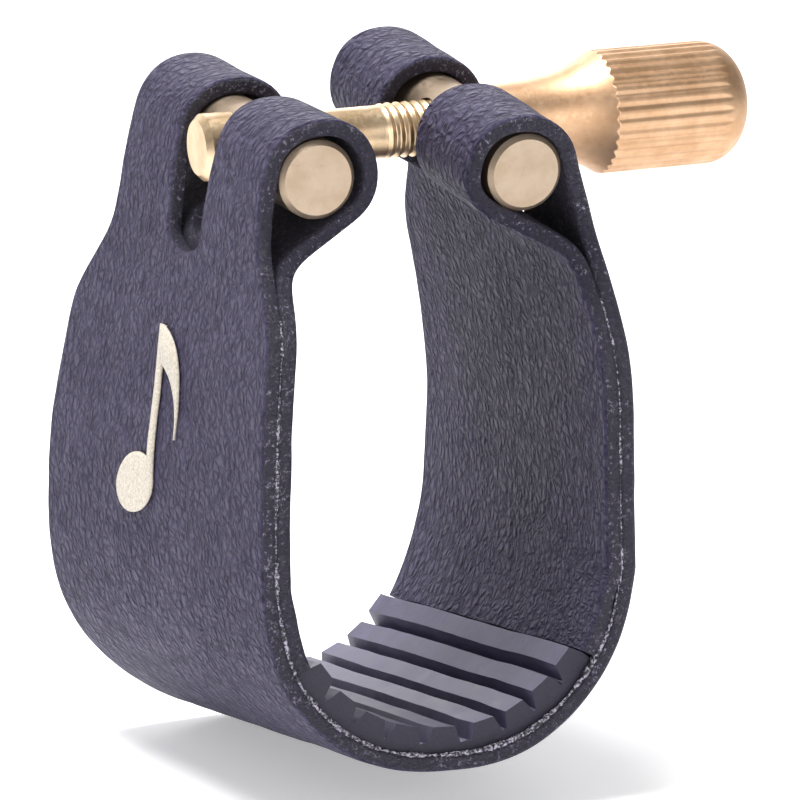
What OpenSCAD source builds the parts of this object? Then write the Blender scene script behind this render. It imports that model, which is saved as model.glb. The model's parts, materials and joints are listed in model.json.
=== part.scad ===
// Strap ligature for an alto saxophone mouthpiece.
// X runs along the clamping screw, Y along the mouthpiece, Z up through the screw.
// The origin is the middle of the opening that the mouthpiece fills.

/* [Strap] */
// Thickness of one layer of the strap
ply = 1.05; // [0.8:0.05:1.2]
// Length of the hoop along the mouthpiece
hoop_length = 32.5; // [30:0.5:35]
// Half of the hoop's outside width, at the fold lines
half_width = 13.75; // [13:0.05:15]
// Height of the fold lines above the origin
fold_z = -4; // [-6:0.5:-2]
// Drop from the fold lines to the underside of the hoop
bottom_drop = 15.5; // [14:0.1:18]
// Squareness of the underside: 2 is an ellipse, more is a fuller curve
bottom_power = 2.2; // [2:0.05:2.6]
// Slope of the left cross pin and wall, higher towards the back
left_tilt = 4; // [2:0.5:6]
// Slope of the right cross pin and wall, higher towards the back
right_tilt = 8; // [6:0.5:9]
// Slope of the underside, lower towards the back, as on a tapered mouthpiece
base_slope = 5.5; // [0:0.5:7]
// Clearance of the rolling joint at each fold line
fold_gap = 0.15; // [0.1:0.05:0.3]

/* [Loops] */
// Length over the two loops on each side, along the cross pins
loops_length = 23; // [22:0.2:25]
// Width of the slot between two loops
slot_width = 6; // [5:0.5:7]
// Depth of the slot below the axis of the cross pins
slot_depth = 7.4; // [7:0.1:8]
// Height below the pin axis at which the two layers meet
merge_depth = 6.2; // [6:0.1:7.2]
// Slope of the shoulders below the loops, as width over height
shoulder_slope = 0.9; // [0.6:0.1:1.5]

/* [Cross pins] */
// Radius of a cross pin
pin_r = 2.5; // [2.3:0.1:2.7]
// How far a cross pin stands out of the loops at each end
pin_proud = 0.05; // [0:0.05:0.5]
// Chamfer on the ends of a cross pin
pin_chamfer = 0.3; // [0.1:0.05:0.5]
// Distance of each cross pin from the middle plane
pin_x = 7; // [6.5:0.1:7.5]
// Position of the screw axis along the mouthpiece
pin_y = -1.5; // [-3:0.5:0]
// Height of the screw axis above the origin
pin_z = 20.5; // [19:0.5:22]
// Clearance between a cross pin and its loops
pin_gap = 0.1; // [0.05:0.05:0.2]

/* [Screw and nut] */
// Radius of the screw
screw_r = 1.8; // [1.6:0.05:1.9]
// Radius of the screw's head
head_r = 2.15; // [2:0.05:2.5]
// Length of the screw's head
head_length = 1.1; // [1:0.1:2.5]
// Reach of the screw into the thumb nut
screw_reach = 9.5; // [8:0.5:11]
// Clearance round the screw in the right pin and in the nut
screw_gap = 0.08; // [0.05:0.01:0.1]
// Radius of the nut's neck, at the pin
neck_r = 2.3; // [2.2:0.05:2.5]
// Length of the nut's flared neck
neck_length = 7.8; // [7:0.1:9]
// Radius of the nut's grip
grip_r = 4.05; // [3.8:0.05:4.5]
// Length of the nut's grip, dome included
grip_length = 10; // [9.5:0.1:12]
// Number of flutes round the grip
flutes = 32; // [24:2:40]
// Depth of a flute
flute_depth = 0.28; // [0.2:0.02:0.4]

/* [Reed pad] */
// Number of ribs on the pad
ribs = 9; // [7:2:11]
// Distance between ribs, as an angle round the pad
rib_step = 12.2; // [11:0.1:13]
// Thickness of the pad under its ribs
pad_base = 0.8; // [0.7:0.1:1.3]
// Height of a rib
rib_height = 1.05; // [0.8:0.05:1.4]
// Width of a rib at its top
rib_top = 1.15; // [0.8:0.05:1.4]
// Width of a rib at its foot
rib_foot = 2.0; // [1.6:0.1:2.2]
// Angle below the right fold line at which the pad starts
pad_right = 39; // [33:3:42]
// Angle below the left fold line at which the pad starts
pad_left = 33; // [30:3:36]

/* [Mark] */
// Thickness of the foil
foil = 0.1; // [0.08:0.01:0.15]
// Height of the note
note_height = 12.5; // [10:0.5:14]

/* [Hidden] */
$fn = 96;

// Clear of every solid: the reach of a cutting shape.
far = 60;
// Radii of the roll of leather round a cross pin.
loop_in = pin_r + pin_gap;
loop_out = loop_in + ply;
// A fold line runs where the two layers meet.
fold_x = half_width - ply;
// How far the fold lines run below the cross pins, square to them.
fold_drop = pin_z - fold_z;
// Radius of the wall's outside: upright at the fold line and tangent to the loop.
wall_r = (pow(fold_drop, 2) + pow(half_width - pin_x, 2) - pow(loop_out, 2))
    / (2 * (half_width - pin_x - loop_out));
wall_x = half_width - wall_r;
// Where the wall's outside runs into the loop, as an angle round the pin.
wall_angle = atan2(fold_drop, pin_x - wall_x);
// The bend where the inner layer turns down along the outer one.
merge_r = wall_r - 1.5 * ply;
merge_x = wall_x + sqrt(pow(merge_r, 2) - pow(fold_drop - merge_depth, 2));
merge_span = norm([merge_x - pin_x, merge_depth]);
mid_r = loop_in + ply / 2;
// Where the inner layer leaves the pin, as an angle round the pin.
leave_angle = 360 + atan2(-merge_depth, merge_x - pin_x) - acos(mid_r / merge_span);
pin_length = loops_length + 2 * pin_proud;
loop_width = (loops_length - slot_width) / 2;
// The upright ends of the base, above its curve, reach the fold lines at the back.
base_rise = hoop_length / 2 * (tan(right_tilt) + tan(base_slope)) + ply;
// Step along the curve of the hoop's underside, as an angle.
base_step = 3;
// The note's parts, as shares of its height.
head_a = 0.19 * note_height;
head_b = 0.14 * note_height;
stem_w = 0.075 * note_height;

function polar(r, a) = [r * cos(a), r * sin(a)];
function rounded(v) = sign(v) * pow(abs(v), 2 / bottom_power);
// A point on the curve of the underside, a distance inside the strap's outer face.
function base_point(inset, a) =
    [(half_width - inset) * rounded(cos(a)), -(bottom_drop - inset) * rounded(sin(a))];
function base_arc(inset, a0, a1) = [for (a = [a0:base_step:a1]) base_point(inset, a)];
function backwards(list) = [for (i = [len(list) - 1:-1:0]) list[i]];
// Radius of the nut's neck at a share of its length: a hollow flare.
function flare(t) = neck_r + (grip_r - neck_r) * (0.28 * t + 0.72 * pow(t, 4));

// ---- placing ----

// Draws an outline (x, height above the pin) along a cross pin of that slope.
module along_pin(tilt, length, shift = 0)
    translate([0, pin_y, pin_z]) rotate([tilt, 0, 0]) rotate([90, 0, 0])
        translate([0, 0, -shift]) linear_extrude(length, center = true) children();

// Draws an outline (x, height above the fold lines) along the underside, and cuts it square.
module along_base(length) intersection() {
    translate([0, 0, fold_z]) rotate([90 - base_slope, 0, 0])
        linear_extrude(2 * far, center = true) children();
    cube([far, length, 2 * far], center = true);
}

// Keeps what lies within the hoop's length, and tapers it towards the loops.
module within_hoop(tilt) intersection() {
    children();
    cube([far, hoop_length, 2 * far], center = true);
    translate([0, pin_y, pin_z]) rotate([tilt, 0, 0])
        rotate([90, 0, 90]) linear_extrude(2 * far, center = true) polygon([
            [-loops_length / 2, -slot_depth],
            [-loops_length / 2 - far * shoulder_slope, -slot_depth - far],
            [loops_length / 2 + far * shoulder_slope, -slot_depth - far],
            [loops_length / 2, -slot_depth]]);
}

// ---- outlines of the right side; the left side is their mirror image ----

// A layer of the wall, between two depths inside its outer face.
module wall_layer(inset, top, bottom) intersection() {
    translate([wall_x, -fold_drop]) difference() {
        circle(wall_r - inset, $fn = 360);
        circle(wall_r - inset - ply, $fn = 360);
    }
    translate([0, bottom]) square([2 * half_width, top - bottom]);
}

// The round end of a layer at the fold line: one quarter of the roll.
module fold_end(side) intersection() {
    translate([fold_x, -fold_drop]) circle(ply);
    translate([side > 0 ? fold_x : fold_x - 2 * ply, -fold_drop - 2 * ply]) square(2 * ply);
}

module outer_outline() {
    wall_layer(0, -slot_depth, -fold_drop);
    fold_end(1);
}

module inner_outline() {
    wall_layer(ply, -slot_depth, -fold_drop);
    fold_end(-1);
}

// The roll round the pin, with the outer layer coming up to it and the inner
// layer leaving it.
module loop_outline() {
    leave = polar(1, leave_angle);
    start = [pin_x, 0] + mid_r * leave;
    end = [merge_x, -merge_depth];
    difference() {
        translate([pin_x, 0]) circle(loop_out);
        translate([pin_x, 0]) circle(loop_in);
        translate([pin_x, 0]) polygon([[0, 0], polar(far, leave_angle), polar(far, 300),
            polar(far, 360 + wall_angle)]);
    }
    wall_layer(0, loop_out * sin(wall_angle), -slot_depth);
    wall_layer(ply, -merge_depth, -slot_depth);
    polygon([start - leave * ply / 2, start + leave * ply / 2,
        end + leave * ply / 2, end - leave * ply / 2]);
    translate(end) circle(ply / 2);
}

// ---- strap ----

// What the rolling joints take out of the base.
module fold_sockets() for (side = [-1, 1]) along_pin(side < 0 ? left_tilt : right_tilt, far) {
    translate([side * fold_x, -fold_drop]) circle(ply + fold_gap);
    translate([side * fold_x, far / 2 - fold_drop]) square([4 * ply, far], center = true);
}

// The ends of the base stand upright, up to the fold lines.
module base_outer_layer() color([0.30, 0.29, 0.37]) difference() {
    along_base(hoop_length) polygon(concat([[half_width, base_rise]], base_arc(0, 0, 180),
        [[-half_width, base_rise], [-fold_x, base_rise]], backwards(base_arc(ply, 0, 180)),
        [[fold_x, base_rise]]));
    fold_sockets();
}

module base_inner_layer() color([0.26, 0.25, 0.33]) difference() {
    along_base(hoop_length) for (side = [0, 1]) mirror([side, 0]) {
        last = (side == 0 ? pad_right : pad_left) - base_step;
        polygon(concat([[fold_x, base_rise]], base_arc(ply, 0, last),
            backwards(base_arc(2 * ply, 0, last)), [[fold_x - ply, base_rise]]));
    }
    fold_sockets();
}

// One rib, at an angle round the pad.
module rib(angle) {
    foot = base_point(ply + pad_base - 0.2, angle);
    crown = base_point(ply + pad_base + rib_height, angle);
    up = (crown - foot) / norm(crown - foot);
    across = [-up.y, up.x];
    polygon([foot + across * rib_foot / 2, crown + across * rib_top / 2,
        crown - across * rib_top / 2, foot - across * rib_foot / 2]);
}

module reed_pad() color([0.20, 0.20, 0.25]) along_base(hoop_length - 1) {
    middle = 90 + (pad_right - pad_left) / 2;
    polygon(concat(base_arc(ply, pad_right, 180 - pad_left),
        backwards(base_arc(ply + pad_base, pad_right, 180 - pad_left))));
    for (i = [0:ribs - 1]) rib(middle + (i - (ribs - 1) / 2) * rib_step);
}

module outer_layer(tilt) color([0.30, 0.29, 0.37])
    within_hoop(tilt) along_pin(tilt, 2 * far) outer_outline();

module inner_layer(tilt) color([0.26, 0.25, 0.33])
    within_hoop(tilt) along_pin(tilt, 2 * far) inner_outline();

// The loop at one end of the slot: -1 is the front, 1 the back.
module loop(tilt, end) color([0.33, 0.32, 0.40])
    along_pin(tilt, loop_width, end * (loops_length - loop_width) / 2) loop_outline();

module left_outer_layer() mirror([1, 0, 0]) outer_layer(left_tilt);
module left_inner_layer() mirror([1, 0, 0]) inner_layer(left_tilt);
module left_front_loop() mirror([1, 0, 0]) loop(left_tilt, -1);
module left_rear_loop() mirror([1, 0, 0]) loop(left_tilt, 1);
module right_outer_layer() outer_layer(right_tilt);
module right_inner_layer() inner_layer(right_tilt);
module right_front_loop() loop(right_tilt, -1);
module right_rear_loop() loop(right_tilt, 1);

// ---- mark ----

// A quaver: a slanted head, a stem and a flag.
module note_outline() {
    stem_x = head_a * 0.92;
    translate([0, head_b]) rotate(20)
        polygon([for (a = [0:10:350]) [head_a * cos(a), head_b * sin(a)]]);
    translate([stem_x - stem_w, head_b]) square([stem_w, note_height - head_b]);
    polygon(concat(
        [for (t = [0:0.125:1]) [stem_x + 0.30 * note_height * sin(90 * t),
            note_height * (1 - 0.48 * t)]],
        [for (t = [1:-0.125:0]) [stem_x - stem_w / 2 + (0.30 * note_height + stem_w / 2) * sin(90 * t),
            note_height * (0.80 - 0.28 * t)]]));
}

module note_mark() color([0.88, 0.84, 0.74]) mirror([1, 0, 0]) intersection() {
    along_pin(left_tilt, far) difference() {
        translate([wall_x, -fold_drop]) circle(wall_r + foil, $fn = 360);
        translate([wall_x, -fold_drop]) circle(wall_r, $fn = 360);
    }
    translate([0, 0, fold_z]) rotate([90, 0, -90]) mirror([0, 0, 1])
        linear_extrude(far) note_outline();
}

// ---- brass ----

// A cross pin, drilled for the screw.
module cross_pin(side, tilt, bore_r) color([0.80, 0.64, 0.44])
    translate([side * pin_x, pin_y, pin_z]) difference() {
        rotate([tilt, 0, 0]) rotate([90, 0, 0]) translate([0, 0, -pin_length / 2])
            rotate_extrude() polygon([[0, 0], [pin_r - pin_chamfer, 0], [pin_r, pin_chamfer],
                [pin_r, pin_length - pin_chamfer], [pin_r - pin_chamfer, pin_length], [0, pin_length]]);
        rotate([0, 90, 0]) cylinder(r = bore_r, h = 4 * pin_r, center = true);
    }

module left_cross_pin() cross_pin(-1, left_tilt, screw_r);
module right_cross_pin() cross_pin(1, right_tilt, screw_r + screw_gap);

// The screw stays in the left pin, and its head bears on it.
module clamp_screw() color([0.78, 0.62, 0.42])
    translate([-pin_x - pin_r, pin_y, pin_z]) rotate([0, 90, 0]) {
        length = 2 * pin_x + 2 * pin_r + screw_reach;
        bevel = 0.4;
        rotate_extrude() polygon([
            [0, -head_length], [head_r - bevel, -head_length], [head_r, -head_length + bevel],
            [head_r, -bevel / 2], [head_r - bevel / 2, 0], [screw_r, 0],
            [screw_r, length - bevel], [screw_r - bevel, length], [0, length]]);
    }

// The nut's grip in section: one tooth for each flute.
module grip_outline() polygon([for (i = [0:flutes - 1]) for (k = [0:3])
    polar(grip_r - (k == 2 || k == 3 ? flute_depth : 0), (i + k / 4) * 360 / flutes)]);

module thumb_nut() color([0.82, 0.64, 0.42])
    translate([pin_x + pin_r + screw_gap, pin_y, pin_z]) rotate([0, 90, 0]) difference() {
        length = neck_length + grip_length;
        rim_r = grip_r + 0.05;
        rim = 0.4;
        dome = 3;
        union() {
            rotate_extrude() polygon(concat([[0, 0]],
                [for (i = [0:12]) [flare(i / 12), (neck_length - rim) * i / 12]],
                [[rim_r, neck_length - rim], [rim_r, neck_length], [0, neck_length]]));
            intersection() {
                translate([0, 0, neck_length - rim / 2]) linear_extrude(grip_length + rim) grip_outline();
                rotate_extrude() polygon(concat([[0, neck_length - rim], [rim_r, neck_length - rim]],
                    [for (a = [0:18:90]) [rim_r - dome, length - 0.8 * dome] + dome * [cos(a), 0.8 * sin(a)]],
                    [[0, length]]));
            }
        }
        translate([0, 0, -1]) cylinder(r = screw_r + screw_gap, h = length - 3 + 1);
    }

base_outer_layer();
base_inner_layer();
reed_pad();
left_outer_layer();
left_inner_layer();
left_front_loop();
left_rear_loop();
note_mark();
right_outer_layer();
right_inner_layer();
right_front_loop();
right_rear_loop();
left_cross_pin();
right_cross_pin();
clamp_screw();
thumb_nut();
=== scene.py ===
"""The looks of a saxophone ligature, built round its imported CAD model.

Lengths are in millimetres until a mesh is made, which turns them into metres.
"""
import math

import bmesh
import bpy
import numpy as np
from mathutils import Matrix, Vector
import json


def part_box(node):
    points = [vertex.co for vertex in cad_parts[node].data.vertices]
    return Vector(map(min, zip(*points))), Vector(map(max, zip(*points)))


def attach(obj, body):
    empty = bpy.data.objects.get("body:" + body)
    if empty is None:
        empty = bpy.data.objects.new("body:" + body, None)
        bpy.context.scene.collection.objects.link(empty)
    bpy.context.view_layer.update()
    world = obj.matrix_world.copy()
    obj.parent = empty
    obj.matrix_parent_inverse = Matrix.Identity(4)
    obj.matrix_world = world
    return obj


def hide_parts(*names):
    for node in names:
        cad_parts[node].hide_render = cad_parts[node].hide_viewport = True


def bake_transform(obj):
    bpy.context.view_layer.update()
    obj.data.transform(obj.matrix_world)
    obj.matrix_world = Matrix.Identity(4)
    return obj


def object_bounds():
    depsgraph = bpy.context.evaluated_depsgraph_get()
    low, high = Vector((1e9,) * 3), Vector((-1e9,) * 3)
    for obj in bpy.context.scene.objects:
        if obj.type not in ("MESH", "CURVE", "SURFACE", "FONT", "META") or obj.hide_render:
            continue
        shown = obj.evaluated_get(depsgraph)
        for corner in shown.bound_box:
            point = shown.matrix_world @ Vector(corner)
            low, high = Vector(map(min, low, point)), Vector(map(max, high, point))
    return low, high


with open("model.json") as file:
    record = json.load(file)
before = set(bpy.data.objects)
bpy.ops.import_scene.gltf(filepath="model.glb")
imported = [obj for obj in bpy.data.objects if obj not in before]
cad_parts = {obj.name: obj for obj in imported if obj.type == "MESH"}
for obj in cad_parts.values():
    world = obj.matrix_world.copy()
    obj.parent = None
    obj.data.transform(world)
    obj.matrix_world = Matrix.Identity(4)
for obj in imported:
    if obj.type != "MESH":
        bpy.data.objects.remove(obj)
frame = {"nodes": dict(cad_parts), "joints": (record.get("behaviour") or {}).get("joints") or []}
cad_low, cad_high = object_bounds()

MM = 0.001
JOINTS = {j["name"]: j for j in frame["joints"]}

# ---- sizes that the looks share with the CAD model ----

PLY = 1.05
LOOPS_LENGTH = 23.0
SLOT_HALF = 3.0
SLOT_END = 1.3
SLOT_DEPTH = 6.5
MERGE_DEPTH = 5.4
BOTTOM_DROP = 15.5
BOTTOM_POWER = 2.2
BASE_SLOPE = math.radians(5.5)
FOLD_Z = -4.0
PIN_R = 2.5
LOOP_IN = PIN_R + 0.1
LOOP_MID = LOOP_IN + PLY / 2
PAD_RIGHT = 39.0
PAD_LEFT = 33.0

# where the strap widens below its loops: depth under the pin, and width gained for each mm down
SHOULDERS = {
    "left": {"front": (4.3, 0.9), "rear": (7.2, 0.95)},
    "right": {"front": (5.0, 0.9), "rear": (2.5, 0.6)},
}
# how far the soft hoop stands outside its even shape: (height, distance) down each edge
STANDS = {
    "left": {
        "front": [(20, 0), (16, -0.6), (12, -1.0), (8, -0.75), (0, -1.0), (-6, -1.0), (-12, 0), (-20, -0.2)],
        "rear": [(20, 0), (12, 0), (6, 0.4), (0, 1.5), (-6, 1.85), (-12, 2.1), (-16, 1.4), (-20, 0.5)],
    },
    "right": {
        "front": [(20, 0), (14, 0.5), (10, 0), (4, -0.75), (-6, -1.3), (-12, -0.9), (-20, -0.5)],
        "rear": [(20, 0), (14, -0.5), (8, 0.3), (0, 0.42), (-6, 0.05), (-12, -0.75), (-20, -0.3)],
    },
}

base_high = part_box("base_outer_layer")[1] / MM
HALF_WIDTH = base_high.x
HALF_LENGTH = base_high.y


def in_mm(point):
    return np.array(point, float) / MM


# ---- small helpers ----


def smooth(t):
    t = np.clip(t, 0, 1)
    return t * t * (3 - 2 * t)


def mix(a, b, t):
    return a + (b - a) * t


def polar(radius, angle):
    return np.stack([radius * np.cos(angle), radius * np.sin(angle)], -1)


def rounded(v):
    return np.sign(v) * np.abs(v) ** (2 / BOTTOM_POWER)


def lengths(points):
    """Distance along a polyline, from its first point."""
    steps = np.linalg.norm(np.diff(points, axis=0), axis=1)
    return np.concatenate([[0], np.cumsum(steps)])


def along(points, distance):
    """Points of a polyline at the given distances."""
    own = lengths(points)
    return np.stack([np.interp(distance, own, points[:, i]) for i in range(points.shape[1])], -1)


def wave(points, size, seed):
    """Smooth repeatable noise of about that feature size, from -1 to 1: a few crossed sine waves."""
    total = np.zeros(len(points))
    rng = np.random.default_rng(seed)
    for _ in range(7):
        direction = rng.normal(size=3)
        direction *= 2 * math.pi / (size * np.linalg.norm(direction) * rng.uniform(0.7, 1.6))
        total += np.sin(points @ direction + rng.uniform(0, 2 * math.pi))
    return total / 3.5


def mesh_object(name, points, faces, materials, smooth_faces=True):
    """A piece from points in millimetres."""
    mesh = bpy.data.meshes.new(name)
    mesh.from_pydata((np.asarray(points, float) * MM).tolist(), [], faces)
    mesh.validate()
    for material in materials:
        mesh.materials.append(material)
    mesh.polygons.foreach_set("use_smooth", [smooth_faces] * len(mesh.polygons))
    obj = bpy.data.objects.new(name, mesh)
    bpy.context.scene.collection.objects.link(obj)
    return obj


def tube_faces(rings, steps):
    """The faces between closed rings of points, one ring after another."""
    faces = []
    for i in range(rings - 1):
        for k in range(steps):
            j = (k + 1) % steps
            faces.append([i * steps + k, i * steps + j, (i + 1) * steps + j, (i + 1) * steps + k])
    return faces


def tube_ends(rings, steps):
    """One face across the first ring and one across the last."""
    return [list(range(steps))[::-1], [(rings - 1) * steps + k for k in range(steps)]]


def apply_modifiers(obj):
    """Bakes the piece's modifiers into its mesh."""
    bpy.context.view_layer.update()
    graph = bpy.context.evaluated_depsgraph_get()
    final = obj.evaluated_get(graph)
    mesh = bpy.data.meshes.new_from_object(final, preserve_all_data_layers=True, depsgraph=graph)
    obj.modifiers.clear()
    old = obj.data
    obj.data = mesh
    bpy.data.meshes.remove(old)
    mesh.name = obj.name


def sharp_edges(obj, angle):
    """Keeps edges sharper than the angle crisp, with the rest smooth."""
    mesh = bmesh.new()
    mesh.from_mesh(obj.data)
    for edge in mesh.edges:
        if len(edge.link_faces) == 2 and edge.calc_face_angle(0) > math.radians(angle):
            edge.smooth = False
    mesh.to_mesh(obj.data)
    mesh.free()


def bevel(obj, width, segments=2, angle=40):
    modifier = obj.modifiers.new("bevel", "BEVEL")
    modifier.width = width * MM
    modifier.segments = segments
    modifier.limit_method = "ANGLE"
    modifier.angle_limit = math.radians(angle)
    return modifier


# ---- materials ----


class Nodes:
    """A short way to write a node tree: each call adds a node and returns its output."""

    def __init__(self, name, roughness=0.5, metallic=0.0, colour=(0.5, 0.5, 0.5)):
        self.material = bpy.data.materials.new(name)
        self.material.use_nodes = True
        self.tree = self.material.node_tree
        self.shader = self.tree.nodes["Principled BSDF"]
        self.shader.inputs["Roughness"].default_value = roughness
        self.shader.inputs["Metallic"].default_value = metallic
        self.shader.inputs["Base Color"].default_value = (*colour, 1)
        self.place = self.tree.nodes.new("ShaderNodeTexCoord").outputs["Object"]

    def laid(self):
        """The place on the flat strap."""
        node = self.tree.nodes.new("ShaderNodeUVMap")
        node.uv_map = "grain"
        return node.outputs["UV"]

    def put(self, target, value):
        if isinstance(value, bpy.types.NodeSocket):
            self.tree.links.new(value, target)
        elif isinstance(value, tuple) and len(value) == 3 and target.type == "RGBA":
            target.default_value = (*value, 1)
        else:
            target.default_value = value

    def set(self, **values):
        for name, value in values.items():
            self.put(self.shader.inputs[name.replace("_", " ")], value)

    def noise(self, size, detail=3, roughness=0.55, distortion=0.0, at=None, stretch=None):
        """Noise with features of that size in millimetres."""
        node = self.tree.nodes.new("ShaderNodeTexNoise")
        node.inputs["Scale"].default_value = 1 / (size * MM)
        node.inputs["Detail"].default_value = detail
        node.inputs["Roughness"].default_value = roughness
        node.inputs["Distortion"].default_value = distortion
        self.put(node.inputs["Vector"], self.stretched(at or self.place, stretch))
        return node.outputs["Fac"]

    def stretched(self, vector, scale):
        if scale is None:
            return vector
        node = self.tree.nodes.new("ShaderNodeMapping")
        self.put(node.inputs["Vector"], vector)
        node.inputs["Scale"].default_value = scale
        return node.outputs["Vector"]

    def shaken(self, size, amount, at=None):
        """The place, moved about by noise of that size, by that many millimetres."""
        node = self.tree.nodes.new("ShaderNodeTexNoise")
        node.inputs["Scale"].default_value = 1 / (size * MM)
        node.inputs["Detail"].default_value = 2
        self.put(node.inputs["Vector"], at or self.place)
        centred = self.vector("SUBTRACT", node.outputs["Color"], (0.5, 0.5, 0.5))
        moved = self.vector("SCALE", centred, None, scale=2 * amount * MM)
        return self.vector("ADD", at or self.place, moved)

    def vector(self, operation, a, b, scale=None):
        node = self.tree.nodes.new("ShaderNodeVectorMath")
        node.operation = operation
        self.put(node.inputs[0], a)
        if b is not None:
            self.put(node.inputs[1], b)
        if scale is not None:
            node.inputs["Scale"].default_value = scale
        return node.outputs["Vector"]

    def cells(self, size, feature="F1", at=None, randomness=1.0):
        node = self.tree.nodes.new("ShaderNodeTexVoronoi")
        node.feature = feature
        node.inputs["Scale"].default_value = 1 / (size * MM)
        node.inputs["Randomness"].default_value = randomness
        self.put(node.inputs["Vector"], at or self.place)
        return node.outputs["Distance"]

    def ramp(self, value, stops, ease=False):
        """A colour or a grey for each value: stops are (place, colour or grey)."""
        node = self.tree.nodes.new("ShaderNodeValToRGB")
        node.color_ramp.interpolation = "EASE" if ease else "LINEAR"
        elements = node.color_ramp.elements
        while len(elements) < len(stops):
            elements.new(0.5)
        for element, (position, colour) in zip(elements, stops):
            element.position = position
            element.color = (colour, colour, colour, 1) if isinstance(colour, (int, float)) else (*colour, 1)
        self.put(node.inputs["Fac"], value)
        return node.outputs["Color"]

    def math(self, operation, a, b=0.0):
        node = self.tree.nodes.new("ShaderNodeMath")
        node.operation = operation
        self.put(node.inputs[0], a)
        self.put(node.inputs[1], b)
        return node.outputs[0]

    def blend(self, a, b, factor, mode="MIX"):
        node = self.tree.nodes.new("ShaderNodeMix")
        node.data_type = "RGBA"
        node.blend_type = mode
        self.put(node.inputs["Factor"], factor)
        self.put(node.inputs["A"], a)
        self.put(node.inputs["B"], b)
        return node.outputs["Result"]

    def bump(self, height, depth, strength=1.0, after=None):
        """Bump of that depth in millimetres."""
        node = self.tree.nodes.new("ShaderNodeBump")
        node.inputs["Distance"].default_value = depth * MM
        node.inputs["Strength"].default_value = strength
        self.put(node.inputs["Height"], height)
        if after is not None:
            self.put(node.inputs["Normal"], after)
        return node.outputs["Normal"]


def srgb(red, green, blue):
    """A colour of 0 to 255 parts, as the shader's linear colour."""
    parts = [c / 255 for c in (red, green, blue)]
    return tuple(c / 12.92 if c <= 0.04045 else ((c + 0.055) / 1.055) ** 2.4 for c in parts)


def leather(name, light, dark, painted_crease_shade):
    """Grained leather: long pebbles between creases that run along the strap, with painted shade that darkens
    the creases.
    """
    n = Nodes(name, roughness=0.5)
    lie = n.laid()
    swept = n.shaken(0.6, 0.2, n.shaken(2.6, 0.5, lie))
    cells = n.cells(0.72, "DISTANCE_TO_EDGE", n.stretched(swept, (1.1, 1.0, 1.0)))
    pebble = n.ramp(cells, [(0.0, 0.0), (0.4, 1.0)], True)
    folds = n.ramp(n.noise(0.75, 3, 0.6, 0.3, swept, (0.65, 1.0, 1.0)), [(0.3, 0.0), (0.7, 1.0)])
    fine = n.noise(0.18, 3, 0.6, 0.3, lie, (0.8, 1.0, 1.0))
    mottle = n.noise(7, 3)
    relief = n.blend(n.blend(pebble, folds, 0.5), fine, 0.22)
    normal = n.bump(relief, 0.45, 1.0)
    tone = n.blend(dark, light, n.ramp(mottle, [(0.3, 0.0), (0.7, 1.0)]))
    # painted shade: the crease colour darkens the grain's valleys, standing in for the shade that falls in
    # them
    tone = n.blend(painted_crease_shade, tone, n.ramp(relief, [(0.1, 0.0), (0.5, 1.0)]))
    n.set(Base_Color=tone, Normal=normal, Roughness=n.ramp(relief, [(0.2, 0.64), (0.8, 0.46)]))
    n.shader.inputs["Specular IOR Level"].default_value = 0.18
    n.shader.inputs["Specular Tint"].default_value = (0.82, 0.74, 1.0, 1)
    return n.material


def cut_edge(name):
    """The cut edge of the leather: inked near black, with pale specks that are partly torn fibres and partly
    painted glints of sheen.
    """
    n = Nodes(name, roughness=0.5)
    fibres = n.noise(0.24, 4, 0.7, 0.8)
    lumps = n.noise(0.7, 3, 0.6, 0.4)
    scuffs_and_glints = n.noise(0.26, 4, 0.7, 0.2)
    where = n.noise(2.6, 2)
    torn_and_glinting = n.ramp(scuffs_and_glints, [(0.56, 0.0), (0.68, 1.0)])
    pale_fibres_and_glints = n.math("MULTIPLY", torn_and_glinting, n.ramp(where, [(0.38, 0.1), (0.56, 1.0)]))
    tone = n.blend(srgb(10, 9, 20), srgb(46, 41, 66), fibres)
    # pale specks: partly torn fibres, partly painted glints standing in for the edge's sheen
    n.set(Base_Color=n.blend(tone, srgb(150, 144, 165), pale_fibres_and_glints))
    n.set(Roughness=n.ramp(fibres, [(0.2, 0.28), (0.7, 0.5)]))
    n.set(Normal=n.bump(fibres, 0.3, 1.0, n.bump(lumps, 0.5, 0.8)))
    return n.material


def glue(name):
    """Dried contact glue with leather dust in it."""
    n = Nodes(name, roughness=0.35)
    clots = n.noise(0.2, 3, 0.7, 0.3)
    n.set(Base_Color=n.blend(srgb(14, 12, 20), srgb(172, 166, 184), n.ramp(clots, [(0.48, 0.0), (0.6, 1.0)])))
    n.set(Normal=n.bump(clots, 0.08, 1.0))
    return n.material


def flesh_side(name):
    """The inside of the leather: a short dark nap."""
    n = Nodes(name, roughness=0.9)
    nap = n.noise(0.3, 5, 0.8)
    lint = n.ramp(n.noise(0.4, 5, 0.8, 1.5), [(0.55, 0.0), (0.68, 0.8)])
    tone = n.blend(srgb(22, 20, 32), srgb(56, 52, 72), n.ramp(nap, [(0.35, 0.0), (0.65, 1.0)]))
    n.set(Base_Color=n.blend(tone, srgb(130, 124, 145), lint), Normal=n.bump(nap, 0.25, 1.0))
    return n.material


def rubber(name):
    n = Nodes(name, roughness=0.48)
    dust = n.noise(1.6, 5, 0.65)
    fine = n.noise(0.12, 2, 0.5)
    tone = n.blend(srgb(66, 62, 84), srgb(94, 90, 114), n.ramp(dust, [(0.35, 0.0), (0.7, 1.0)]))
    n.set(Base_Color=tone, Roughness=n.ramp(dust, [(0.3, 0.4), (0.7, 0.56)]))
    n.set(Normal=n.bump(fine, 0.02, 0.5))
    n.shader.inputs["Specular Tint"].default_value = (0.85, 0.8, 1.0, 1)
    return n.material


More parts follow.
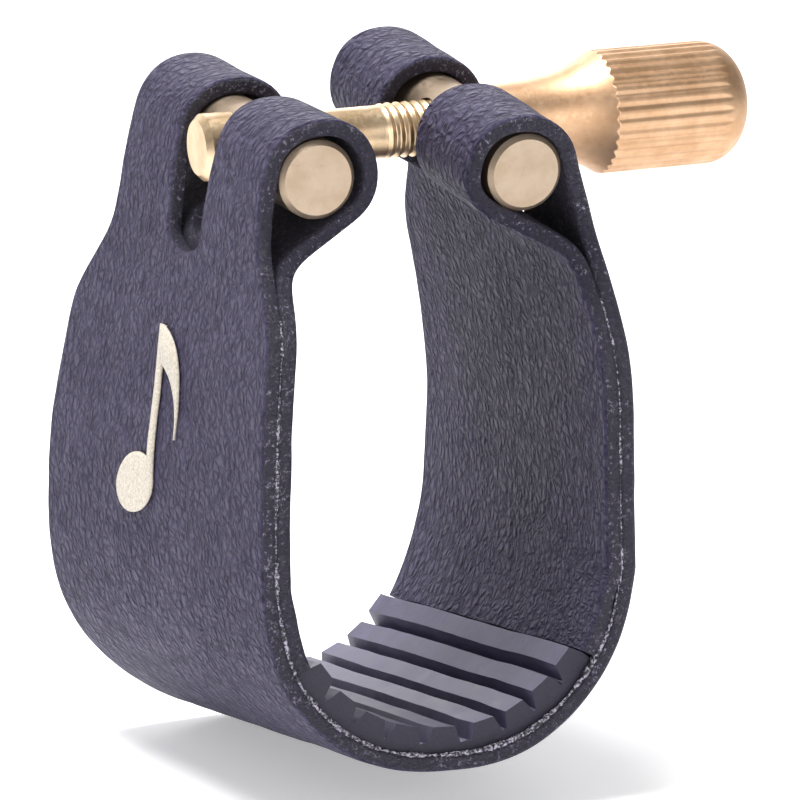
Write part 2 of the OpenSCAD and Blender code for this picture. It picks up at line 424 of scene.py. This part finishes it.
def shaded_rubber_end(name):
    """The cut ends of the rubber: duller than its moulded face, and painted darker as the shade that falls on
    the ends.
    """
    n = Nodes(name, roughness=0.7)
    grit = n.noise(0.2, 4, 0.7)
    n.set(Base_Color=n.blend(srgb(26, 24, 38), srgb(52, 49, 66), grit), Normal=n.bump(grit, 0.06, 0.8))
    return n.material


def brass(name, light, dark, lathe_axis=0, roughness=0.3):
    """Turned brass: fine rings round one axis of the piece, and a little tarnish."""
    n = Nodes(name, roughness=roughness, metallic=1.0)
    squeeze = [0.03, 0.03, 0.03]
    squeeze[lathe_axis] = 1.0
    rings = n.noise(0.08, 2, 0.5, stretch=tuple(squeeze))
    tarnish = n.noise(1.8, 4, 0.6)
    spots = n.noise(0.3, 4, 0.7)
    pits = n.ramp(n.noise(0.5, 5, 0.8), [(0.63, 0.0), (0.72, 0.55)])
    tone = n.blend(dark, light, n.ramp(tarnish, [(0.35, 0.0), (0.62, 1.0)]))
    tone = n.blend(tone, tuple(0.45 * c for c in dark), pits)
    n.set(Base_Color=tone, Roughness=n.ramp(spots, [(0.3, roughness - 0.06), (0.75, roughness + 0.1)]))
    n.set(Normal=n.bump(rings, 0.008, 0.5))
    return n.material


def foil(name):
    """Hot-stamped cream foil, a little broken where the grain is deep."""
    n = Nodes(name, roughness=0.4)
    speckle = n.noise(0.16, 3, 0.7)
    tone = n.blend(srgb(178, 168, 152), srgb(212, 203, 188), n.ramp(speckle, [(0.38, 0.0), (0.58, 1.0)]))
    n.set(Base_Color=tone, Normal=n.bump(n.cells(0.4, "DISTANCE_TO_EDGE"), 0.04, 0.5))
    return n.material


# the third colour is painted shade for the grain's creases
GRAIN = leather("leather_grain", srgb(71, 67, 89), srgb(59, 55, 77), srgb(38, 34, 52))
EDGE = cut_edge("leather_edge")
GLUE = glue("leather_glue")
FLESH = flesh_side("leather_flesh")
RUBBER = rubber("pad_rubber")
# the pad's ends: darker rubber that is painted shade
RUBBER_END_SHADE = shaded_rubber_end("pad_rubber_end_shaded")
PIN_BRASS = brass("pin_brass", (0.46, 0.36, 0.27), (0.40, 0.305, 0.22), lathe_axis=1, roughness=0.45)
SCREW_BRASS = brass("screw_brass", (0.80, 0.61, 0.40), (0.66, 0.47, 0.28), roughness=0.36)
NUT_BRASS = brass("nut_brass", (0.69, 0.455, 0.285), (0.57, 0.35, 0.20), roughness=0.46)
FOIL = foil("mark_foil")

# ---- the strap ----


def side_of(sign, name):
    """Where one side of the ligature stands: its pin, its fold line and their slope."""
    pin = JOINTS[name + "_pin_turn"]
    fold = JOINTS[name + "_wall_fold"]
    axis = np.array(pin["axis"], float)
    tilt = math.atan2(axis[2], axis[1])
    pin_at, fold_at = in_mm(pin["pos_m"]), in_mm(fold["pos_m"])
    drop = math.hypot(pin_at[1] - fold_at[1], pin_at[2] - fold_at[2])
    return {"sign": sign, "name": name, "pin": pin_at, "fold": fold_at, "tilt": tilt, "drop": drop}


LEFT = side_of(-1, "left")
RIGHT = side_of(1, "right")


def wall_arc(side):
    """Centre and radius of the wall's outside, upright at the fold line and tangent to the loop."""
    reach = HALF_WIDTH - abs(side["pin"][0])
    loop_out = LOOP_IN + PLY
    radius = (side["drop"] ** 2 + reach**2 - loop_out**2) / (2 * (reach - loop_out))
    return np.array([HALF_WIDTH - radius, -side["drop"]]), radius


def upper_path(side, step=0.05):
    """The middle of the leather above the fold line: up the wall, round the pin and down
    inside. Points are (x outwards, height above the pin), a small step apart."""
    centre, radius = wall_arc(side)
    pin = np.array([abs(side["pin"][0]), 0.0])
    top = math.atan2(-centre[1], pin[0] - centre[0])
    up = centre + polar(radius - PLY / 2, np.linspace(0, top, 200))
    inner_r = radius - 1.5 * PLY
    merge_angle = math.asin((-MERGE_DEPTH - centre[1]) / inner_r)
    merge = centre + polar(inner_r, merge_angle)
    to_merge = merge - pin
    span = np.linalg.norm(to_merge)
    leave = 2 * math.pi + math.atan2(to_merge[1], to_merge[0]) - math.acos(LOOP_MID / span)
    turn = np.linspace(top, leave, 200)
    slack = 0.38 * smooth((turn - math.radians(80)) / 1.2) * smooth((leave - turn) / 0.9)
    round_pin = pin + polar(1, turn) * (LOOP_MID + slack)[:, None]
    straight = mix(round_pin[-1], merge, np.linspace(0, 1, 60)[:, None])
    down = centre + polar(inner_r, np.linspace(merge_angle, 0, 200))
    corners = np.concatenate([up, round_pin[1:], straight[1:], down[1:]])
    count = int(lengths(corners)[-1] / step)
    path = along(corners, np.linspace(0, lengths(corners)[-1], count))
    # leather turns the corner in a curve, so the path is averaged over it
    distance = lengths(path)
    at_merge = distance[np.argmin(np.linalg.norm(path - merge, axis=1))]
    soft = path.copy()
    kernel = np.hanning(int(5.5 / step) | 1)
    kernel /= kernel.sum()
    half = len(kernel) // 2
    for i in range(2):
        soft[half:-half, i] = np.convolve(path[:, i], kernel, "valid")
    near = smooth(1.8 - np.abs(distance - at_merge) / 3.0)[:, None]
    return mix(path, soft, near), distance, at_merge


def base_point(inset, angle):
    """A point of the underside's curve at a depth in the strap, by its angle in degrees."""
    angle = np.radians(angle)
    x = (HALF_WIDTH - inset) * rounded(np.cos(angle))
    return np.stack([x, -(BOTTOM_DROP - inset) * rounded(np.sin(angle))], -1)


def base_curve(inset):
    """The underside's curve at a depth in the strap: points (x, height above the fold lines),
    from the middle of the underside to above the fold line."""
    curve = base_point(inset, np.linspace(90, 0, 400))
    upright = np.array([[HALF_WIDTH - inset, 12.0]])
    return np.concatenate([curve, upright])


def settled(points):
    """Moves points of the even hoop to where the soft leather stands."""
    points = np.array(points, float)
    height, share = points[:, 2], np.clip((points[:, 1] + HALF_LENGTH) / (2 * HALF_LENGTH), 0, 1)
    for name, inside in (("left", points[:, 0] < 0), ("right", points[:, 0] >= 0)):
        edges = []
        for edge in ("front", "rear"):
            knots = sorted(STANDS[name][edge])
            places, values = [k[0] for k in knots], [k[1] for k in knots]
            # averaged over 5 mm, so that the wall has no creases
            near = [np.interp(height + d, places, values) for d in np.linspace(-2.5, 2.5, 11)]
            edges.append(np.mean(near, axis=0))
        grown = 1 + mix(edges[0], edges[1], share) / HALF_WIDTH
        points[inside, 0] *= grown[inside]
    # the small unevenness of worked leather, the same for all layers at a place
    uneven = [0.06 * wave(points, 9, 10 + i) + 0.014 * wave(points, 2.6, 20 + i) for i in range(3)]
    return points + np.stack(uneven, -1)


def base_rows(side, inset, shares, end_distance):
    """Rows of the strap below the fold line. share 0 is the fold line, 1 the far end, which is
    a distance along the base curve from the middle of the underside."""
    curve = base_curve(inset)
    own = lengths(curve)
    wall_x = HALF_WIDTH - inset
    rows = []
    for share in shares:
        centre_y = mix(side["fold"][1], 0.0, share)
        columns = column_places(-HALF_LENGTH, centre_y, centre_y, HALF_LENGTH)
        fold_z = side["fold"][2] + (columns - side["fold"][1]) * math.tan(side["tilt"])
        fold_h = (fold_z - FOLD_Z) * math.cos(BASE_SLOPE) + columns * math.sin(BASE_SLOPE)
        fold_distance = np.interp(fold_h, curve[:, 1], own)
        distance = mix(fold_distance, end_distance, share)
        point = along(curve, distance)
        fold_x = np.interp(fold_distance, own, curve[:, 0])
        x = point[:, 0] + (wall_x - fold_x) * smooth(1 - 2.5 * share)
        z = FOLD_Z + (point[:, 1] - columns * math.sin(BASE_SLOPE)) / math.cos(BASE_SLOPE)
        rows.append(np.stack([side["sign"] * x, columns, z], -1))
    return rows


COLUMNS = 46
ROUNDING = 0.3
# steps in from a cut edge, fine enough to round it
STEPS_IN = np.array([0, 0.02, 0.07, 0.14, 0.22, 0.32])
# steps into the slot from its ends, fine enough to round them
SLOT_STEPS = np.array([0.02, 0.08, 0.18, 0.33, 0.53, 0.78, 1.08, 1.42, 1.8, 2.2, 2.6, 3.0])
# the share of the thickness below which the leather counts as its cut edge
EDGE_SHARE = 0.8


def spread(start, end):
    """Places from one cut edge to the next, closer together near the edges."""
    middle = np.linspace(start + STEPS_IN[-1], end - STEPS_IN[-1], COLUMNS + 3 - 2 * len(STEPS_IN))[1:-1]
    return np.concatenate([start + STEPS_IN, middle, (end - STEPS_IN)[::-1]])


def column_places(front, slot_front, slot_back, back):
    """Places across the strap: the front half, then the back half. The slot is between them."""
    return np.concatenate([spread(front, slot_front), spread(slot_back, back)])


def edge_thickness(distance):
    """The share of the leather's thickness that is left at a distance from a cut edge."""
    inside = ROUNDING - np.clip(distance, 0, ROUNDING)
    return 1 - 2 * (ROUNDING - np.sqrt(ROUNDING**2 - inside**2)) / PLY


def strap_edges(side, w):
    """The places along the pin of the strap's front and rear edges, w above the pin."""
    front_edge, rear_edge = (
        LOOPS_LENGTH / 2 + slope * softplus(-start - w, 0.9)
        for start, slope in (SHOULDERS[side["name"]]["front"], SHOULDERS[side["name"]]["rear"]))
    front = -soft_min(front_edge, -across(side, -HALF_LENGTH, w), 0.8)
    return front, soft_min(rear_edge, across(side, HALF_LENGTH, w), 0.8)


def upper_rows(side):
    """Rows of the strap above the fold line, which of them the slot cuts, and the share of the
    leather's thickness at each point."""
    path, distance, at_merge = upper_path(side)
    tilt = side["tilt"]
    pin = side["pin"]
    slot_start = distance[np.argmax(path[:, 1] > -SLOT_DEPTH)]
    slot_end = at_merge + 0.3
    end = distance[-1]
    stations = list(np.linspace(0, slot_start - 0.5, 46)) + list((slot_start - STEPS_IN)[::-1])
    stations += list(slot_start + SLOT_STEPS)
    stations += list(np.linspace(slot_start + 3.35, slot_end - 3.35, 52))
    stations += list((slot_end - SLOT_STEPS)[::-1])
    stations += list(slot_end + STEPS_IN) + list(np.linspace(slot_end + 0.5, end, 48))
    rows, open_rows, thickness = [], [], []
    for s in stations:
        x, w = along(path, s)
        front, back = strap_edges(side, w)
        inside = min(s - slot_start, slot_end - s)
        half = 0.0
        widening = 0.86 + 0.14 * min(max(inside, 0) / 8, 1)
        if inside > 1e-6:
            rise = min(inside / SLOT_END, 1.0)
            half = SLOT_HALF * widening * math.sqrt(1 - (1 - rise) ** 2)
        v = column_places(front, -half, half, back)
        squeeze = SLOT_HALF / SLOT_END
        beside, below = v / widening, squeeze * max(SLOT_END - inside, 0)
        reach = np.maximum(np.hypot(beside, below), 1e-6)
        from_slot = (reach - SLOT_HALF) * reach / np.hypot(beside / widening, squeeze * below)
        thickness.append(edge_thickness(np.minimum(from_slot, np.minimum(v - front, back - v))))
        y = pin[1] + v * math.cos(tilt) - w * math.sin(tilt)
        z = pin[2] + v * math.sin(tilt) + w * math.cos(tilt)
        rows.append(np.stack([np.full(len(v), side["sign"] * x), y, z], -1))
        open_rows.append(half > 0)
    return rows, open_rows, thickness


def softplus(value, width):
    return width * math.log1p(math.exp(min(value / width, 30)))


def soft_min(a, b, width):
    """The lesser of two numbers, with a gradual change from one to the other."""
    if abs(a - b) >= 20 * width:
        return min(a, b)
    return -width * math.log(math.exp(-a / width) + math.exp(-b / width))


def across(side, y, w):
    """The place along the pin of a point at that y, w above the pin."""
    return (y - side["pin"][1] + w * math.sin(side["tilt"])) / math.cos(side["tilt"])


def build_strap(side):
    """One half of the strap, from the middle of its underside up, round the pin and down
    inside to the pad: a sheet with a slot, thickened to leather."""
    outer = base_rows(side, PLY / 2, np.linspace(1, 0, 61)[:-1], 0.0)
    upper, open_rows, upper_thickness = upper_rows(side)
    inner_curve = base_curve(1.5 * PLY)
    angle = math.radians((PAD_RIGHT if side["sign"] > 0 else PAD_LEFT) - 0.6)
    end_height = -(BOTTOM_DROP - 1.5 * PLY) * rounded(math.sin(angle))
    end_distance = float(np.interp(end_height, inner_curve[:, 1], lengths(inner_curve)))
    inner = base_rows(side, 1.5 * PLY, np.linspace(0, 1, 24)[1:], end_distance)
    rows = outer + upper + inner
    slotted = [False] * len(outer) + open_rows + [False] * len(inner)
    points = settled(np.concatenate(rows))
    thickness = [edge_thickness(HALF_LENGTH - np.abs(row[:, 1])) for row in outer] + upper_thickness
    thickness = np.concatenate(thickness + [edge_thickness(HALF_LENGTH - np.abs(row[:, 1])) for row in inner])
    width = 2 * (COLUMNS + 1)
    run = np.cumsum([0] + [float(np.linalg.norm(np.mean(b - a, axis=0))) for a, b in zip(rows, rows[1:])])
    lie = np.stack([np.repeat(side["sign"] * run, width), points[:, 1]], -1)
    faces = []

    def corner(row, column):
        # the two halves share their middle column where there is no slot
        if column == COLUMNS + 1 and not slotted[row]:
            column = COLUMNS
        return row * width + column

    for row in range(len(rows) - 1):
        for column in [c for c in range(width - 1) if c != COLUMNS]:
            here = [corner(row, column), corner(row, column + 1)]
            quad = here + [corner(row + 1, column + 1), corner(row + 1, column)]
            faces.append(quad if side["sign"] > 0 else quad[::-1])
    obj = mesh_object("strap_" + side["name"], points, faces, [GRAIN, FLESH, EDGE])
    for face in obj.data.polygons:
        if thickness[list(face.vertices)].mean() < EDGE_SHARE:
            face.material_index = 2
    lay_out(obj, lie)
    group = obj.vertex_groups.new(name="thickness")
    for place, share in enumerate(thickness.tolist()):
        group.add([place], share, "REPLACE")
    tidy_loose(obj)
    thick = obj.modifiers.new("thick", "SOLIDIFY")
    thick.thickness = PLY * MM
    thick.offset = 0
    thick.use_even_offset = True
    thick.material_offset = 1
    thick.material_offset_rim = 2
    thick.vertex_group = "thickness"
    apply_modifiers(obj)
    obj.vertex_groups.clear()
    sharp_edges(obj, 60)
    return obj


def lay_out(obj, places):
    """Gives each corner its place on the flat strap, in metres, for the grain to follow."""
    layer = obj.data.uv_layers.new(name="grain")
    corners = np.array([loop.vertex_index for loop in obj.data.loops])
    layer.data.foreach_set("uv", (places[corners] * MM).ravel())


def tidy_loose(obj):
    """Drops the points that no face uses."""
    mesh = bmesh.new()
    mesh.from_mesh(obj.data)
    loose = [v for v in mesh.verts if not v.link_faces]
    bmesh.ops.delete(mesh, geom=loose, context="VERTS")
    mesh.to_mesh(obj.data)
    mesh.free()


def finish_strap(side):
    obj = build_strap(side)
    name = side["name"]
    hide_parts("base_outer_layer", "base_inner_layer", *[
        name + part for part in ("_outer_layer", "_inner_layer", "_front_loop", "_rear_loop")])
    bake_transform(obj)
    return obj


def build_bond(side):
    """The bead of dried glue that shows between the two plies at the strap's front edge."""
    centre, radius = wall_arc(side)
    low = [row[0] for row in base_rows(side, PLY, np.linspace(1, 0, 90), 0.0)]
    top = math.asin((-MERGE_DEPTH - 2.5 - centre[1]) / (radius - PLY))
    high = []
    for x, w in centre + polar(radius - PLY, np.linspace(0, top, 90)[1:]):
        front = strap_edges(side, w)[0]
        y = side["pin"][1] + front * math.cos(side["tilt"]) - w * math.sin(side["tilt"])
        z = side["pin"][2] + front * math.sin(side["tilt"]) + w * math.cos(side["tilt"])
        high.append([side["sign"] * x, y, z])
    path = settled(np.array(low + high))
    path = along(path, np.linspace(0, lengths(path)[-1], 500))
    path[:, 1] += 0.2
    size = 0.15 + 0.08 * wave(path, 2.4, 41) + 0.04 * wave(path, 0.4, 42)
    size = np.clip(size, 0.05, 0.26)
    ahead = np.gradient(path, axis=0)
    ahead /= np.linalg.norm(ahead, axis=1)[:, None]
    out = np.cross(ahead, [0, 1, 0])
    out /= np.linalg.norm(out, axis=1)[:, None]
    steps = 8
    rings = []
    for turn in np.arange(steps) * 2 * math.pi / steps:
        rings.append(path + size[:, None] * (math.cos(turn) * out + math.sin(turn) * np.array([0, 1.0, 0])))
    points = np.stack(rings, 1).reshape(-1, 3)
    faces = tube_faces(len(path), steps) + tube_ends(len(path), steps)
    bead = mesh_object("glue_line_" + side["name"], points, faces, [GLUE])
    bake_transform(bead)


for SIDE in (LEFT, RIGHT):
    finish_strap(SIDE)
    build_bond(SIDE)

# ---- the reed pad ----

RIBS = 9
RIB_STEP = 12.2
PAD_BASE = 0.8
RIB_HEIGHT = 1.05
RIB_TOP = 1.45
RIB_FOOT = 2.3


def pad_outline():
    """The pad's section: its back along the strap, then its ribbed face."""
    back = base_point(PLY, np.linspace(PAD_RIGHT, 180 - PAD_LEFT, 49))
    face = []
    for i in reversed(range(RIBS)):
        angle = 90 + (PAD_RIGHT - PAD_LEFT) / 2 + (i - (RIBS - 1) / 2) * RIB_STEP
        foot = base_point(PLY + PAD_BASE, angle)
        crown = base_point(PLY + PAD_BASE + RIB_HEIGHT, angle)
        up = (crown - foot) / np.linalg.norm(crown - foot)
        side = np.array([-up[1], up[0]])
        face += [foot + side * RIB_FOOT / 2, crown + side * RIB_TOP / 2]
        face += [crown - side * RIB_TOP / 2, foot - side * RIB_FOOT / 2]
        if i:
            face.append(base_point(PLY + PAD_BASE, angle - RIB_STEP / 2))
    face = np.array(face)
    ends = base_point(PLY + PAD_BASE, np.array([180 - PAD_LEFT, PAD_RIGHT]))
    return np.concatenate([back, ends[:1], face, ends[1:]])


def build_pad():
    outline = pad_outline()
    count = len(outline)
    places = np.linspace(-HALF_LENGTH + 0.5, HALF_LENGTH - 0.5, 40)
    rows = []
    for y in places:
        z = FOLD_Z + (outline[:, 1] - y * math.sin(BASE_SLOPE)) / math.cos(BASE_SLOPE)
        rows.append(np.stack([outline[:, 0], np.full(count, y), z], -1))
    points = settled(np.concatenate(rows))
    faces = tube_faces(len(places), count) + tube_ends(len(places), count)
    pad = mesh_object("reed_pad_ribbed", points, faces, [RUBBER, RUBBER_END_SHADE], False)
    # the two end faces take the painted-shade rubber, darker than the moulded face
    for end in pad.data.polygons[-2:]:
        end.material_index = 1
    bevel(pad, 0.12, 2, 25)
    apply_modifiers(pad)
    return pad


pad = build_pad()
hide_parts("reed_pad")
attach(pad, "base")

# ---- brass ----

PITCH = 0.6
SHANK_R = 1.7
THREAD_R = 1.8
THREAD_DEPTH = 0.16
THREAD_START = 1.6
POCKET = 1.4
NECK_R = 2.3
GRIP_R = 4.05
FLUTES = 32
FLUTE_DEPTH = 0.17
NECK_LENGTH = 7.8
SKIN = 0.04
DOME = 3.1
END_BEVEL = 0.4
THREAD_STEP = 0.05


def lathe(name, axis_at, stations, radius_of, steps, material):
    """A turned piece along X, closed at both ends, whose radius may change round it."""
    angle = np.linspace(0, 2 * math.pi, steps, endpoint=False)
    points = []
    for x in stations:
        r = radius_of(x, angle)
        y, z = axis_at[1] + r * np.cos(angle), axis_at[2] + r * np.sin(angle)
        points.append(np.stack([np.full(steps, x), y, z], -1))
    faces = tube_faces(len(stations), steps)
    points = np.concatenate(points)
    count = len(points)
    ends = [[stations[0], axis_at[1], axis_at[2]], [stations[-1], axis_at[1], axis_at[2]]]
    points = np.concatenate([points, ends])
    last = (len(stations) - 1) * steps
    for k in range(steps):
        j = (k + 1) % steps
        faces.append([count, j, k])
        faces.append([count + 1, last + k, last + j])
    return mesh_object(name, points, faces, [material])


def saw(turns):
    """A wave of straight slopes from 0 to 1 and back, once a turn."""
    part = np.mod(turns, 1.0)
    return 1 - np.abs(2 * part - 1)


def head_end():
    """Where the screw's head ends, bedded in a pocket of its pin."""
    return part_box("left_cross_pin")[0].x / MM + POCKET


def screw_radius(low, high):
    """The screw's radius at each place: its head, its smooth shank, then its thread."""
    head = head_end()

    box_low, box_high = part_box("clamp_screw")
    head_r = (box_high.z - box_low.z) / MM / 2

    def radius(x, angle):
        even = np.ones_like(angle)
        if x < head:
            return even * (head_r - END_BEVEL * (1 - min((x - low) / END_BEVEL, 1)))
        if x < THREAD_START:
            return even * SHANK_R
        groove = saw(x / PITCH - angle / (2 * math.pi))
        depth = THREAD_DEPTH * smooth((x - THREAD_START) / 0.8)
        crest = mix(SHANK_R, THREAD_R, smooth((x - THREAD_START) / 0.5))
        point = END_BEVEL * max(0, 1 - (high - x) / END_BEVEL)
        return crest - depth * np.clip(1.35 * groove - 0.2, 0, 1) - point

    return radius


def build_screw():
    low, high = (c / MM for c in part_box("clamp_screw"))
    axis = JOINTS["nut_turn"]["pos_m"]
    head = head_end()
    stations = [low.x, low.x + 0.2, low.x + 0.4, head - 0.001, head + 0.001, head + 1, 0, THREAD_START]
    stations += list(np.arange(THREAD_START + THREAD_STEP, high.x, THREAD_STEP)) + [high.x]
    screw = lathe("clamp_screw_threaded", in_mm(axis), stations, screw_radius(low.x, high.x), 64, SCREW_BRASS)
    sharp_edges(screw, 35)
    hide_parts("clamp_screw")
    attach(screw, "left_pin")


def build_nut():
    """The thumb nut: a hollow flare, and flutes that run out on the flare and on the dome."""
    low, high = (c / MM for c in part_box("thumb_nut"))
    grip_start = NECK_LENGTH - 0.3

    def radius(x, angle):
        along_nut = x - low.x
        share = min(along_nut / grip_start, 1)
        flare = NECK_R + (GRIP_R + SKIN - NECK_R) * (0.22 * share + 0.78 * share**3.6)
        flare -= 0.25 * max(0, 1 - along_nut / 0.25) ** 2
        flute = saw(angle * FLUTES / (2 * math.pi))
        grip = GRIP_R + SKIN - FLUTE_DEPTH * (1 - flute**1.3)
        into_dome = max(0, (DOME - (high.x - x)) / DOME)
        end = GRIP_R - 0.02 - (GRIP_R - 0.1) * (1 - math.sqrt(max(0, 1 - into_dome**2.3)))
        if along_nut > grip_start:
            flare = GRIP_R + SKIN + 0.6 * (along_nut - grip_start)
        return np.minimum(np.minimum(flare, grip) if along_nut > grip_start - 2 else flare, end)

    stations = list(low.x + np.array([0, 0.06, 0.12, 0.2, 0.3]))
    stations += list(np.linspace(low.x + 0.5, low.x + grip_start - 1.6, 30))
    stations += list(np.arange(low.x + grip_start - 1.55, low.x + grip_start + 0.5, 0.05))
    stations += list(np.linspace(low.x + grip_start + 0.6, high.x - DOME, 12))
    stations += list(high.x - DOME * (1 - np.sin(np.linspace(0, math.pi / 2, 34)[1:])))
    stations[-1] = high.x
    axis = in_mm(JOINTS["nut_turn"]["pos_m"])
    nut = lathe("thumb_nut_fluted", axis, stations, radius, FLUTES * 12, NUT_BRASS)
    sharp_edges(nut, 38)
    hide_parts("thumb_nut")
    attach(nut, "nut")


build_screw()
build_nut()
for name in ("left_cross_pin", "right_cross_pin"):
    pin_node = frame["nodes"][name]
    pin_node.data.materials.clear()
    pin_node.data.materials.append(PIN_BRASS)

# ---- the mark ----

FOIL_THICK = 0.12
FOIL_ABOVE = 0.14
FOIL_LAYER = 0.015


def left_face(y, z):
    """The outside of the left wall of the even hoop at that place."""
    centre, radius = wall_arc(LEFT)
    above = (z - LEFT["pin"][2] - (y - LEFT["pin"][1]) * math.tan(LEFT["tilt"])) * math.cos(LEFT["tilt"])
    rise = np.maximum(above - centre[1], 0)
    return -(centre[0] + np.sqrt(radius**2 - rise**2))


def note_patches():
    """The note as patches of (place to the reader's right, height): a head, a stem and a flag."""
    turn = np.linspace(0, 2 * math.pi, 49)
    ring = np.linspace(0.001, 1, 7)[:, None]
    lean = math.radians(22)
    a, b = 2.75 * ring * np.cos(turn), 1.9 * ring * np.sin(turn)
    head_x = a * math.cos(lean) - b * math.sin(lean)
    head = np.stack([head_x, 2.1 + a * math.sin(lean) + b * math.cos(lean)], -1)
    up = np.linspace(2.4, 12.5, 24)
    side = np.array([1.75, 2.65])[:, None]
    stem = np.stack([np.broadcast_to(side, (2, 24)), np.broadcast_to(up, (2, 24))], -1)
    t = np.linspace(0, 1, 30)
    outer_x = 2.2 + 3.9 * np.sin(math.pi * 0.5 * t**0.8) - 0.5 * t**4
    inner_x = 2.2 + 3.6 * np.sin(math.pi * 0.5 * t**1.1) - 0.3 * t**4
    outer = np.stack([outer_x, 12.5 - 2.2 * t - 4.6 * t**2.2], -1)
    inner = np.stack([inner_x, 10.2 - 0.9 * t - 3.6 * t**2.2], -1)
    flag = np.stack([outer, inner])
    return [head, stem, flag]


def build_note():
    low, high = (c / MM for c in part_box("note_mark"))
    middle = (low.y + high.y) / 2 + 1.5
    points, faces = [], []
    # each patch stands a hair above the one before, so that none share a surface
    for layer, patch in enumerate(note_patches()):
        first = len(points)
        n, m = patch.shape[:2]
        for across_note, up in patch.reshape(-1, 2):
            points.append((middle + 2.4 - across_note, low.z + 0.7 + up, FOIL_ABOVE + FOIL_LAYER * layer))
        for i in range(n - 1):
            for j in range(m - 1):
                k = first + i * m + j
                faces.append([k, k + 1, k + m + 1, k + m])
    flat = np.array(points)
    face_x = left_face(flat[:, 0], flat[:, 1])
    place = settled(np.stack([face_x, flat[:, 0], flat[:, 1]], -1))
    place[:, 0] -= flat[:, 2]
    note = mesh_object("note_foil", place, faces, [FOIL])
    thick = note.modifiers.new("thick", "SOLIDIFY")
    thick.thickness = FOIL_THICK * MM
    thick.offset = 0
    apply_modifiers(note)
    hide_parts("note_mark")
    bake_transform(note)


build_note()

# ---- stage, lights and camera ----


def stage():
    """A pale floor that curves up into a backdrop."""
    low = cad_low.z / MM - 0.05
    bend = 200
    profile = [(-900, low)]
    for a in np.radians(np.linspace(0, 90, 16)):
        profile.append((500 + bend * math.sin(a), low + bend - bend * math.cos(a)))
    profile.append((500 + bend, low + 900))
    points = [(x, y, z) for y, z in profile for x in (-1500, 1500)]
    faces = [[2 * i, 2 * i + 1, 2 * i + 3, 2 * i + 2] for i in range(len(profile) - 1)]
    n = Nodes("backdrop", roughness=0.9, colour=(0.92, 0.92, 0.93))
    n.set(Base_Color=n.blend((0.90, 0.90, 0.91), (0.94, 0.94, 0.95), n.noise(60, 2)))
    n.shader.inputs["Emission Color"].default_value = (1, 1, 1, 1)
    n.shader.inputs["Emission Strength"].default_value = 0.36
    floor = mesh_object("floor", points, faces, [n.material])


def lamp(name, place, target, size, power):
    data = bpy.data.lights.new(name, "AREA")
    data.shape = "RECTANGLE"
    data.size, data.size_y = size[0] * MM, size[1] * MM
    data.energy = power
    obj = bpy.data.objects.new(name, data)
    obj.location = Vector(place) * MM
    obj.rotation_euler = (Vector(target) - Vector(place)).to_track_quat("-Z", "Y").to_euler()
    bpy.context.scene.collection.objects.link(obj)


def lights():
    world = bpy.data.worlds.new("studio")
    world.use_nodes = True
    world.node_tree.nodes["Background"].inputs["Color"].default_value = (1, 1, 1, 1)
    world.node_tree.nodes["Background"].inputs["Strength"].default_value = 0.3
    bpy.context.scene.world = world
    lamp("top", (-60, 20, 300), (0, 0, 0), (130, 130), 1.4)
    lamp("back", (120, 320, 160), (0, 0, 10), (200, 120), 0.25)
    lamp("front", (-20, -400, 70), (0, 0, 5), (300, 200), 0.6)
    lamp("backdrop", (0, 300, 500), (0, 700, 250), (600, 200), 1.6)


def camera(yaw, pitch, roll, distance, focal, shift):
    """A camera that looks along +Y, turned by yaw to the right and tipped down by pitch."""
    cy, sy = math.cos(yaw), math.sin(yaw)
    cp, sp = math.cos(pitch), math.sin(pitch)
    forward = Vector((sy * cp, cy * cp, -sp))
    right = Vector((cy, -sy, 0))
    up = right.cross(forward)
    right, up = (math.cos(roll) * right + math.sin(roll) * up, -math.sin(roll) * right + math.cos(roll) * up)
    place = right * shift[0] + up * shift[1] - forward * distance
    data = bpy.data.cameras.new("camera")
    data.lens = focal
    data.sensor_width = 36
    data.clip_start, data.clip_end = 0.01, 10
    obj = bpy.data.objects.new("camera", data)
    rotation = Matrix((right, up, -forward)).transposed().to_4x4()
    obj.matrix_world = Matrix.Translation(place * MM) @ rotation
    bpy.context.scene.collection.objects.link(obj)
    bpy.context.scene.camera = obj


stage()
lights()
camera(
    yaw=math.radians(22.45), pitch=math.radians(11.36), roll=math.radians(-1.65),
    distance=372, focal=258.8, shift=(3.05, 2.87))
bpy.context.scene.view_settings.view_transform = "Standard"
